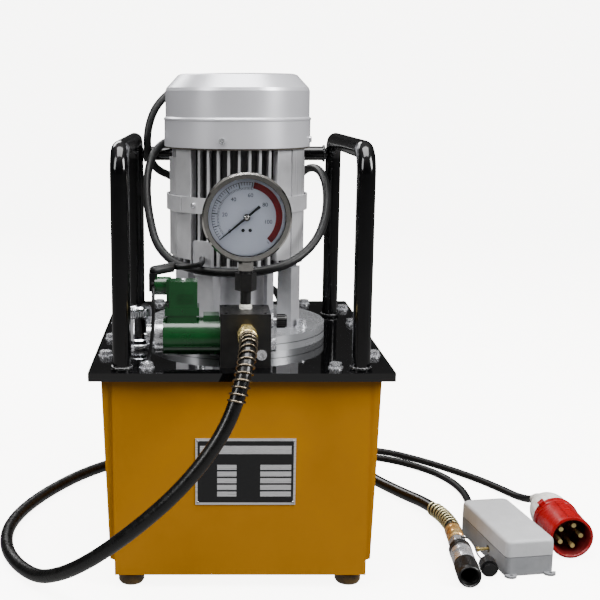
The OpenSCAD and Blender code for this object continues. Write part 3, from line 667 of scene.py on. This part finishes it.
# ---- hose fitting ----
def ripple(profile_low, profile_high, radius, count, depth):
    """Crimp grooves along a turned ferrule."""
    out = []
    steps = count * 8
    for i in range(steps + 1):
        f = i / steps
        h = profile_low + (profile_high - profile_low) * f
        out.append((radius - depth * (0.5 - 0.5 * math.cos(2 * math.pi * count * f)) ** 3, h))
    return out


def hexagon(radius, chamfer_at):
    """Radius of a hexagon's side at an angle, for a lathe's wave."""
    def wave(angle, h, r):
        if r < chamfer_at:
            return r
        step = math.pi / 3
        local = (angle + step / 2) % step - step / 2
        return min(r, radius * math.cos(math.pi / 6) / math.cos(local))
    return wave


outlet = (6, -200, 318)
turned(
    "fitting_nut", [(5.9, -10), (5.9, 0), (10.0, 0), (11.0, 0.9), (11.0, 8.1), (10.0, 9.0), (8.0, 9.1),
    (8.0, 12)], outlet, FRONT, 96, brass, replaces="hose_fitting", wave=hexagon(11.0, 9.6))
turned(
    "fitting_ferrule", [(7.0, 11.8), (10.6, 11.8), (11.4, 12.8)] + ripple(13.5, 35.5, 11.4, 3,
    0.8) + [(11.3, 37.2), (10.4, 38.0), (7.0, 38.0)], outlet, FRONT, 64, brass,
    replaces="hose_fitting")

# ---- quick coupler ----
coupler_at = (293, -70, 14.5)
heading = math.radians(-95)
mouth = (math.cos(heading), math.sin(heading), 0)
turned(
    "coupler_ferrule", [(6.5, 0), (10.4, 0), (11.4, 1.0)] + ripple(2, 31, 11.4, 2, 0.7) + [(11.3, 33),
    (10.2, 34), (6.5, 34)], coupler_at, mouth, 64, ferrule_gold, replaces="coupler_body")
turned(
    "coupler_nut", [(9.0, 34), (9.0, 40), (11.4, 40), (12.5, 41.1), (12.5, 50.9), (11.4, 52), (9.0, 52)],
    coupler_at, mouth, 96, zinc, replaces="coupler_body", wave=hexagon(12.5, 10.9))
turned(
    "coupler_barrel", [(6.0, 52), (10.2, 52), (11.0, 53), (11.0, 137.4), (10.7, 138), (10.4, 137.8),
    (7.4, 129), (7.0, 127), (7.0, 84), (0.0, 84)], coupler_at, mouth, 64, blackened,
    replaces="coupler_body")


def knurl(count, depth, low, high):
    """Fine ridges between two distances along a turned piece, for a lathe's wave."""
    def wave(angle, h, r):
        if r > 14 and low <= h <= high:
            return r + depth * (abs(((angle * count / (2 * math.pi)) % 1) - 0.5) * 2 - 0.5)
        return r
    return wave


turned(
    "sleeve_ring", [(11.1, 60), (13.4, 60), (14.4, 61.2), (14.5, 66), (13.9, 67), (13.9, 68), (14.5, 69),
    (14.5, 73), (13.8, 74), (11.1, 74)], coupler_at, mouth, 72, blackened,
    body="locking_sleeve", replaces="coupler_sleeve")
turned(
    "sleeve_band", [(11.1, 74), (13.4, 74.1), (14.1, 75), (14.2, 84), (13.9, 85.0), (14.2, 86),
    (14.2, 106.4), (13.6, 107.6), (11.1, 107.8)], coupler_at, mouth, 72, zinc,
    body="locking_sleeve", replaces="coupler_sleeve")
turned(
    "sleeve_mouth", [(11.1, 108), (13.8, 108),
    (14.5, 109)] + [(14.5, 110 + 2 * k) for k in range(15)] + [(14.5, 141), (13.9, 143.4), (13.2, 144),
    (12.0, 144), (11.2, 143)], coupler_at, mouth, 176, blackened, body="locking_sleeve",
    replaces="coupler_sleeve", wave=knurl(44, 0.5, 111, 138))

# ---- gauge ----
GAUGE_X = 6.0
GAUGE_Z = 451.0
DIAL_FACE_Y = -176.0


def on_dial(u, v, w):
    """A point on the dial: u to the right, v up, w in front of the dial's face."""
    return (GAUGE_X + u, DIAL_FACE_Y - w, GAUGE_Z + v)


def mark(angle, r0, r1, width):
    """A straight mark on the dial between two radii, as an outline in mm."""
    c, s = math.cos(math.radians(angle)), math.sin(math.radians(angle))
    h = width / 2
    return [(r0 * c + h * s, r0 * s - h * c), (r1 * c + h * s, r1 * s - h * c),
            (r1 * c - h * s, r1 * s + h * c), (r0 * c - h * s, r0 * s + h * c)]


def arc(start, end, r0, r1, steps):
    """Points along the outer and the inner edge of a ring sector."""
    outer = []
    inner = []
    for k in range(steps + 1):
        angle = math.radians(start + (end - start) * k / steps)
        outer.append((r1 * math.cos(angle), r1 * math.sin(angle)))
        inner.append((r0 * math.cos(angle), r0 * math.sin(angle)))
    return outer, inner


def arc_pieces(start, end, r0, r1, steps):
    outer, inner = arc(start, end, r0, r1, steps)
    return [[inner[k], outer[k], outer[k + 1], inner[k + 1]] for k in range(steps)]


def round_spot(x, y, r, count=20):
    return [(x + r * math.cos(2 * math.pi * k / count), y + r * math.sin(2 * math.pi * k / count))
            for k in range(count)]


START_ANGLE = 220.0
RED_START = 80.0
marks = []
for k in range(59):
    angle = START_ANGLE - k * 4.65
    long_mark = k % 5 == 0
    marks.append(mark(angle, 35.0 if long_mark else 37.6, 41.0, 0.95 if long_mark else 0.60))
for k in range(50):
    angle = START_ANGLE - k * 2.9
    marks.append(mark(angle, 32.6, 34.0 if k % 2 else 34.6, 0.5))
marks += arc_pieces(START_ANGLE, RED_START, 41.0, 41.4, 60)
marks += arc_pieces(START_ANGLE, RED_START, 34.6, 34.9, 60)
marks += [round_spot(-4.2, -15.6, 2.1), round_spot(4.2, -15.6, 2.1)]
add_piece(
    extruded_shapes("dial_marks", marks, on_dial, 0.02, 0.12), "power_unit", dial_black)
add_piece(
    extruded_shapes("dial_red_arc", arc_pieces(78, -46, 34.6, 42.0, 50), on_dial, 0.05, 0.2),
    "power_unit", dial_red)


def number(text, u, v, size):
    """A number as thin solid letters on the dial."""
    curve = bpy.data.curves.new("number_" + text, "FONT")
    curve.body = text
    curve.size = size * MM
    curve.align_x = "CENTER"
    curve.align_y = "CENTER"
    curve.extrude = 0.00005
    source = bpy.data.objects.new("source_" + text, curve)
    bpy.context.scene.collection.objects.link(source)
    bpy.context.view_layer.update()
    mesh = bpy.data.meshes.new_from_object(source.evaluated_get(bpy.context.evaluated_depsgraph_get()))
    bpy.data.objects.remove(source)
    obj = bpy.data.objects.new("number_" + text, mesh)
    bpy.context.scene.collection.objects.link(obj)
    place = Matrix.Translation(Vector(on_dial(u, v, 0.08)) * MM) @ Matrix.Rotation(math.pi / 2, 4, "X")
    mesh.transform(place)
    return add_piece(obj, "power_unit", dial_black)


NUMBER_RADIUS = 26.0
for k in range(6):
    angle = math.radians(START_ANGLE - k * 46.5)
    number(str(20 * k), NUMBER_RADIUS * math.cos(angle), NUMBER_RADIUS * math.sin(angle), 6.6)

# Hub of the pointer's spindle, and the lens's sealing ring
turned(
    "pointer_hub", [(0.0, 180.5), (2.6, 180.5), (2.6, 181.0), (1.8, 181.5), (0.0, 181.6)], (GAUGE_X, 0,
    GAUGE_Z), FRONT, 40, bezel_steel, body="pointer")
turned(
    "lens_seal", [(45.6, 177.0), (46.9, 177.0), (46.9, 182.3), (45.6, 182.3), (45.6, 177.0)], (GAUGE_X, 0,
    GAUGE_Z), FRONT, 96, black_plastic)

# Thread tape between the block and the gauge's adapter
tape = lathe(
    "thread_tape", [(5.0, 339.2), (7.6, 339.3), (8.0, 340.2), (7.4, 341.2), (7.9, 342.4), (7.0, 344.2),
    (6.6, 345.2), (5.0, 345.3)], (GAUGE_X, -165, 0), UP, 48, lambda a, h,
    r: r + (0.35 * math.sin(5 * a + h * 2) if r > 6 else 0))
add_piece(tape, "power_unit", tape_white)

# ---- data plate: blank fields, no lettering ----
PLATE_X = 5.5
PLATE_Z = 149.5
PLATE_FACE_Y = -213.0


def on_plate(u, v, w):
    """A point on the data plate: u to the right, v up, w in front of its face."""
    return (PLATE_X + u, PLATE_FACE_Y - w, PLATE_Z + v)


def box_shape(u0, v0, u1, v1):
    return [(u0, v0), (u1, v0), (u1, v1), (u0, v1)]


def rounded_shape(u0, v0, u1, v1, r, steps=6):
    """A rectangle with corners of radius r, as an outline."""
    out = []
    for cu, cv, start in ((u1 - r, v1 - r, 0), (u0 + r, v1 - r, 90), (u0 + r, v0 + r, 180),
                          (u1 - r, v0 + r, 270)):
        for k in range(steps + 1):
            angle = math.radians(start + 90 * k / steps)
            out.append((cu + r * math.cos(angle), cv + r * math.sin(angle)))
    return out


add_piece(
    extruded_shapes("data_plate_panel", [rounded_shape(-57.4, -38.6, 57.4, 38.4, 2.6)], on_plate, 0.01,
    0.14), "power_unit", dial_black)
fields = [box_shape(-54.6, 22.4, 54.6, 32.6)]
for row in range(5):
    v = 5.8 - 8.4 * row
    fields.append(box_shape(-33.9, v - 3.1, -10.8, v + 3.1))
    fields.append(box_shape(17.7, v - 3.1, 54.6, v + 3.1))
add_piece(
    extruded_shapes("data_plate_fields", fields, on_plate, 0.10, 0.24), "power_unit",
    plate_silver)
for index, (u, v) in enumerate(((-57.2, 38.4), (57.2, 38.4), (-57.2, -38.4), (57.2, -38.4))):
    turned(
        f"data_plate_rivet_{index}", [(0.0, -0.3), (1.5, -0.3), (1.5, 0.3), (1.1, 0.8), (0.0, 1.0)],
        on_plate(u, v, 0.0), FRONT, 20, steel)


# ---- motor: smooth side pads, the band's lapped end and the seal under the cowl ----
def on_motor(u, v, w):
    """A point in the motor's own frame, whose axis is x = 0 and y = 0."""
    return (u, v + MOTOR[1], w)


def sector(start, end, r0, r1, steps):
    """A flat ring sector about the motor's axis, as one outline in mm."""
    outer, inner = arc(start, end, r0, r1, steps)
    return outer + inner[::-1]


PAD_BOTTOM = 384.0
PAD_INNER = 79.0
PAD_OUTER = 89.6
for name, start, end, top in (("left_outer", 184, 205.6, 513), ("left_front", 206.4, 227, 524.6),
                              ("right_front", 303, 318.6, 524.6), ("right_outer", 341.4, 356, 513)):
    pad = extruded_shapes(
        "motor_pad_" + name, [sector(start, end, PAD_INNER, PAD_OUTER, 1)], on_motor, PAD_BOTTOM, top)
    add_piece(pad, "power_unit", cast)
    soften(pad, 0.0006)
lap = extruded_shapes("motor_band_lap", [sector(207, 219, 93.5, 95.2, 6)], on_motor, 444.4, 465.6)
add_piece(lap, "power_unit", cast)
soften(lap, 0.0004)
turned(
    "cowl_seal", [(87.0, 524.8), (94.6, 524.8), (94.9, 525.4), (94.9, 527.0), (87.0, 527.0)], MOTOR, UP,
    160, gasket_rubber)

# ---- breather ----
BREATHER = (-128, -90, 0)


def ribs(count, depth, low, high):
    """Rounded ribs between two distances along a turned piece, for a lathe's wave."""
    def wave(angle, h, r):
        if low <= h <= high and r > 12:
            return r - depth * (0.5 + 0.5 * math.cos(count * angle)) ** 2
        return r
    return wave


turned(
    "breather_cap_shell", [(11.1, 280.4), (16.2, 280.4), (17.0, 281.2), (17.0, 285.2), (16.0, 286.4),
    (15.0, 287.2), (15.0, 312.0), (15.4, 313.2), (16.6, 315.2), (17.0, 316.4), (17.0, 318), (17.0, 321),
    (17.0, 324), (16.4, 326.4), (14.4, 328.6), (10.0, 329.6), (0.0, 330.0)], BREATHER, UP, 160,
    chrome, body="breather", replaces="breather_cap", wave=ribs(32, 0.9, 316.0, 324.5))
turned(
    "breather_neck_ring", [(12.5, 276.1), (17.4, 276.1), (17.8, 276.9), (17.8, 279.4), (17.0, 280.1),
    (12.5, 280.1)], BREATHER, UP, 72, zinc)


# ---- welds where the frame's tubes meet the plate and the crossbar ----
def weld_bead(name, centre, axis, radius, size, seed):
    """A rippled bead of paint-covered weld round a tube, in mm."""
    rng = random.Random(seed)
    bumps = [rng.uniform(0.75, 1.25) for _ in range(40)]
    axis = Vector(axis).normalized()
    a, b = across(axis)
    around = 120
    section = 10
    verts = []
    for k in range(around):
        angle = 2 * math.pi * k / around
        place = angle / (2 * math.pi) * 40
        low = int(place) % 40
        f = place - int(place)
        swell = bumps[low] * (1 - f) + bumps[(low + 1) % 40] * f
        r = size * (0.82 + 0.18 * abs(math.sin(angle * 22))) * swell
        out = a * math.cos(angle) + b * math.sin(angle)
        for j in range(section):
            beta = 2 * math.pi * j / section
            offset = out * (radius + r * math.cos(beta)) + axis * (r * math.sin(beta))
            verts.append((Vector(centre) + offset) * MM)
    faces = []
    for k in range(around):
        kk = (k + 1) % around
        for j in range(section):
            jj = (j + 1) % section
            faces.append((k * section + j, kk * section + j, kk * section + jj, k * section + jj))
    return add_piece(new_mesh(name, verts, faces), "power_unit", weld)


seed = 3
for x in (-141, 141):
    for y in (-205, 108):
        side = "left" if x < 0 else "right"
        end = "front" if y < 0 else "rear"
        weld_bead(f"weld_foot_{side}_{end}", (x, y, 276.9), UP, 11.4, 2.0, seed)
        seed += 1
for x in (-127.4, 127.4):
    weld_bead("weld_bar_left" if x < 0 else "weld_bar_right", (x, 108, 511), (1, 0, 0), 10.4, 1.8, seed)
    seed += 1

# ---- solenoid, connector and block details ----
nodes["connector"].data.materials.append(cable_rubber)
for polygon in nodes["connector"].data.polygons:
    if polygon.center.z > 0.3825 or polygon.center.x < -0.1035:
        polygon.material_index = 1
turned(
    "connector_gland", [(4.2, 0.0), (8.6, 0.0), (10.2, 1.6), (10.2, 4.0), (9.4, 4.8), (9.4, 6.2),
    (10.2, 7.0), (10.2, 9.4), (9.4, 10.2), (9.4, 11.0), (11.2, 11.6), (11.2, 15.0)], (-104.2, -170, 368),
    (1, 0, 0), 48, green)
ribbing = [box_shape(-9.5, v, 9.5, v + 0.9) for v in (350, 353.2, 356.4, 359.6)]
add_piece(
    extruded_shapes("connector_ribs", ribbing, lambda u, v, w: (-66 + u, -184.0 - w, v), 0.0, 0.7),
    "power_unit", green)
turned(
    "connector_screw", [(3.6, 0), (3.6, 1.4), (3.0, 2.0), (0.8, 2.0), (0.8, 1.2), (0, 1.2)], (-69, -170,
    375), UP, 32, zinc)
COIL_RADIUS = 23.25


def on_coil(u, v, w):
    """A point on the front of the solenoid coil, whose axis runs along x."""
    return (-59 + u, -170 - math.sqrt(COIL_RADIUS ** 2 - v * v) - w, 307 + v)


add_piece(
    extruded_shapes("coil_label_panel", [box_shape(-24, -9, 24, 9)], on_coil, -0.8, 0.0), "power_unit",
    green)
for index, (x, y) in enumerate(((-18, -193), (28, -193), (-18, -147), (28, -147))):
    turned(
        f"block_screw_{index}", [(4.4, 331.2), (4.4, 338.2), (4.0, 338.8), (2.4, 338.8), (2.3, 334.6),
        (0.0, 334.4)], (x, y, 0), UP, 40, blackened)
turned(
    "block_plug", [(0.0, 0.0), (2.6, 0.1), (2.6, 1.2), (5.0, 1.6), (6.2, 1.6), (6.4, 0.4), (6.4, -0.4)],
    (24, -200, 290), FRONT, 40, zinc)

# ---- motor details ----
BAND_RADIUS = 93.2
for index, angle in enumerate((-128, -52)):
    c, s = math.cos(math.radians(angle)), math.sin(math.radians(angle))
    piece = lathe(
        f"band_screw_{index}", [(0.0, 0.0), (3.0, 0.0), (3.4, 0.4), (3.4, 2.2), (2.9, 2.8), (0.0, 2.8)],
        on_motor(BAND_RADIUS * c, BAND_RADIUS * s, 455), (c, s, 0), 28)
    add_piece(piece, "power_unit", zinc)

turned(
    "flange_seam", [(117.0, 282.6), (119.12, 282.6), (119.12, 283.5), (117.0, 283.5)], MOTOR, UP, 128,
    blackened)
tether = smooth_path(mm([(291, -121.3, 27.2), (299.5, -123, 26.2), (305, -134, 21), (307, -146, 14),
                         (311, -158, 12.5), (315, -165, 22.2)]), 0.003)
add_piece(tube("cap_tether", tether, 0.0011, 10), "power_unit", black_plastic)

# ---- control box lid: a moulded cover with rounded edges ----
BOX_AT = Vector((354, -105, 0))
BOX_TURN = math.radians(9)


def on_box(u, v, w):
    """A point in the control box's own frame, turned and placed beside the tank."""
    c, s = math.cos(BOX_TURN), math.sin(BOX_TURN)
    return (BOX_AT.x + u * c - v * s, BOX_AT.y + u * s + v * c, w)


def box_loft(name, rings, material, replaces):
    """Rounded rectangles (width, depth, corner radius, height) joined one to the next."""
    verts = []
    for w, d, r, z in rings:
        verts += [Vector(on_box(u, v, z)) * MM for u, v in rounded_shape(-w / 2, -d / 2, w / 2, d / 2, r, 8)]
    count = len(verts) // len(rings)
    obj = new_mesh(name, verts, ring_faces(len(rings), count) + ring_caps(len(rings), count))
    obj.data.set_sharp_from_angle(angle=math.radians(40))
    return add_piece(obj, "power_unit", material, replaces)


lid = [(63.6, 142.6, 6.5, 24.6), (65, 144, 7, 25.2), (64.6, 143.6, 7, 40.5)]
for k in range(7):
    angle = math.radians(90 * k / 6)
    inset = 4.2 * (1 - math.cos(angle))
    lid.append((64.6 - 2 * inset, 143.6 - 2 * inset, 8.5, 42.3 + 4.2 * math.sin(angle)))
box_loft("box_lid_cover", lid, lid_grey, "box_lid")
box_loft(
    "box_seam", [(61.5, 140.5, 6, 23.6), (61.5, 140.5, 6, 24.9)], black_plastic, None)

# ---- plug details ----
PLUG = (432, -6, 29.5)
PIN_CIRCLE = 14.5


def grip_flutes(angle, h, r):
    """Finger flutes round the widest part of the plug's grip."""
    if 30 < h < 52 and math.cos(angle * 18) > 0.7:
        return r - 0.5
    return r


turned(
    "plug_grip", [(0.0, 0.2), (8.8, 0.2), (9.6, 1.6), (11.6, 3.6), (14.4, 6.2), (17.6, 9.6), (20.4, 13.8),
    (22.8, 19.4), (24.6, 25.6), (26.0, 33.0), (26.6, 41), (26.7, 50), (26.4, 53.6), (25.8, 55.8),
    (0.0, 55.8)], PLUG, FRONT, 144, ivory, replaces="plug_handle", wave=grip_flutes)
# Painted shade: the plug's inner face, a thin lining on the mouth's inner wall and the pin collars are a
# darker red than the shroud, for the shade inside the mouth
turned(
    "plug_inner_face", [(0.0, 76.1), (8.0, 76.1), (8.2, 77.2), (9.6, 77.2), (9.8, 76.3), (24.3, 76.3),
    (24.3, 76.05), (0.0, 76.05)], PLUG, FRONT, 64, mouth_shade_red)
turned(
    "plug_mouth_shade_lining", [(24.45, 76.3), (24.0, 76.4), (24.0, 121.6), (24.45, 122.4)], PLUG, FRONT, 64,
    mouth_shade_red)
for k in range(5):
    angle = math.radians(72 * k + 18)
    u, v = PIN_CIRCLE * math.cos(angle), PIN_CIRCLE * math.sin(angle)
    turned(
        f"pin_collar_{k}", [(3.1, 76.3), (5.2, 76.3), (5.2, 80.6), (4.6, 81.4), (3.1, 81.4)],
        (PLUG[0] + v, PLUG[1], PLUG[2] - u), FRONT, 32, mouth_shade_red)
LUG_ANGLE = math.radians(132)
SHROUD_RADIUS = 28.6


def on_lug(u, v, w):
    """A point on the side of the plug's shroud: u round it, v along it, w outwards."""
    c, s = math.cos(LUG_ANGLE), math.sin(LUG_ANGLE)
    out = SHROUD_RADIUS + w
    return (PLUG[0] + out * c - u * s, PLUG[1] - 60.0 - v * 1.3, PLUG[2] + out * s + u * c)


add_piece(
    extruded_shapes("plug_flap_lug", [rounded_shape(-4.6, -3.4, 4.6, 3.4, 1.4)], on_lug, -2.0, 4.4),
    "power_unit", red)
turned(
    "plug_ring", [(27.6, 61.0), (28.8, 61.4), (29.3, 62.4), (29.3, 66.4), (28.8, 67.4), (27.6, 67.8)],
    PLUG, FRONT, 96, red)
turned(
    "plug_lip", [(24.4, 121.4), (26.6, 121.6), (28.0, 121.9), (28.4, 122.8), (28.1, 123.8), (27.0, 124.4),
    (25.0, 124.4), (24.3, 123.6)], PLUG, FRONT, 96, red)

# ---- earth lead's ring terminal and stud ----
turned(
    "earth_stud", [(0.0, 283.0), (2.2, 283.0), (2.9, 282.3), (2.9, 279.6), (5.4, 279.6), (5.4, 276.6),
    (7.2, 276.5), (7.2, 275.4), (6.2, 275.3), (6.2, 274.1)], (-112, -200, 0), UP, 40, zinc)
turned(
    "earth_terminal", [(0.4, 0.0), (2.6, 0.2), (2.8, 1.0), (2.8, 7.6), (2.4, 8.2), (0.4, 8.4)], (-112,
    -185.6, 277.4), FRONT, 28, zinc)


# ---- floor and light ----
def backdrop():
    """A round paper cove: a pale floor that curves up into a wall all round."""
    profile = [(0.0, 0.0), (1.0, 0.0), (2.2, 0.0), (3.6, 0.0)]
    for k in range(1, 13):
        angle = math.radians(90 * k / 12)
        profile.append((3.6 + 1.6 * math.sin(angle), 1.6 - 1.6 * math.cos(angle)))
    profile.append((5.2, 7.0))
    around = 72
    verts = []
    for r, z in profile:
        for k in range(around):
            angle = 2 * math.pi * k / around
            verts.append((r * math.cos(angle), r * math.sin(angle), z))
    obj = new_mesh("backdrop", verts, ring_faces(len(profile), around))
    obj.location.z = -0.0005
    material = finish_of(
        "paper backdrop", (0.90, 0.885, 0.865), (0.93, 0.915, 0.895), (0.85, 0.95), scale=3, specular=0.0)
    shader = material.node_tree.nodes["Principled BSDF"]
    shader.inputs["Emission Color"].default_value = (1.0, 0.985, 0.955, 1)
    shader.inputs["Emission Strength"].default_value = 7.0
    paint(obj, material)
    obj.visible_glossy = False
    obj.visible_diffuse = False
    obj.visible_transmission = False


backdrop()


def studio_world():
    """A dark studio: pale floor below, dark walls, a soft grey ceiling."""
    world = bpy.data.worlds.new("studio")
    bpy.context.scene.world = world
    world.use_nodes = True
    tree = world.node_tree
    where = tree.nodes.new("ShaderNodeTexCoord")
    split = tree.nodes.new("ShaderNodeSeparateXYZ")
    ramp = tree.nodes.new("ShaderNodeValToRGB")
    half = tree.nodes.new("ShaderNodeMapRange")
    half.inputs["From Min"].default_value = -1.0
    half.inputs["From Max"].default_value = 1.0
    tree.links.new(where.outputs["Generated"], split.inputs["Vector"])
    tree.links.new(split.outputs["Z"], half.inputs["Value"])
    tree.links.new(half.outputs["Result"], ramp.inputs["Fac"])
    stops = ((0.0, 0.55), (0.38, 0.36), (0.47, 0.06), (0.58, 0.02), (0.78, 0.12), (1.0, 0.60))
    ramp.color_ramp.elements[0].position = stops[0][0]
    ramp.color_ramp.elements[1].position = stops[-1][0]
    for place, shade in stops[1:-1]:
        ramp.color_ramp.elements.new(place)
    for element, (place, shade) in zip(ramp.color_ramp.elements, stops):
        element.color = (shade, shade * 0.99, shade * 0.98, 1)
    tree.links.new(ramp.outputs["Color"], tree.nodes["Background"].inputs["Color"])
    tree.nodes["Background"].inputs["Strength"].default_value = 1.0


studio_world()


def area_light(name, location, target, width, height, power):
    """A soft rectangular light of `power` watts, facing `target`."""
    data = bpy.data.lights.new(name, "AREA")
    data.shape = "RECTANGLE"
    data.size = width
    data.size_y = height
    data.energy = power
    obj = bpy.data.objects.new(name, data)
    bpy.context.scene.collection.objects.link(obj)
    obj.location = location
    direction = Vector(target) - Vector(location)
    obj.rotation_euler = direction.to_track_quat("-Z", "Y").to_euler()


area_light("key", (-1.7, -1.3, 1.6), (0, 0, 0.35), 0.7, 1.5, 38)
area_light("fill", (1.9, -1.2, 1.6), (0, 0, 0.45), 0.7, 1.4, 95)
area_light("top", (0.0, -0.35, 2.5), (0, -0.1, 0.3), 1.8, 1.6, 100)
area_light("back", (-0.9, 2.1, 2.0), (0, 0, 0.35), 1.6, 0.8, 40)
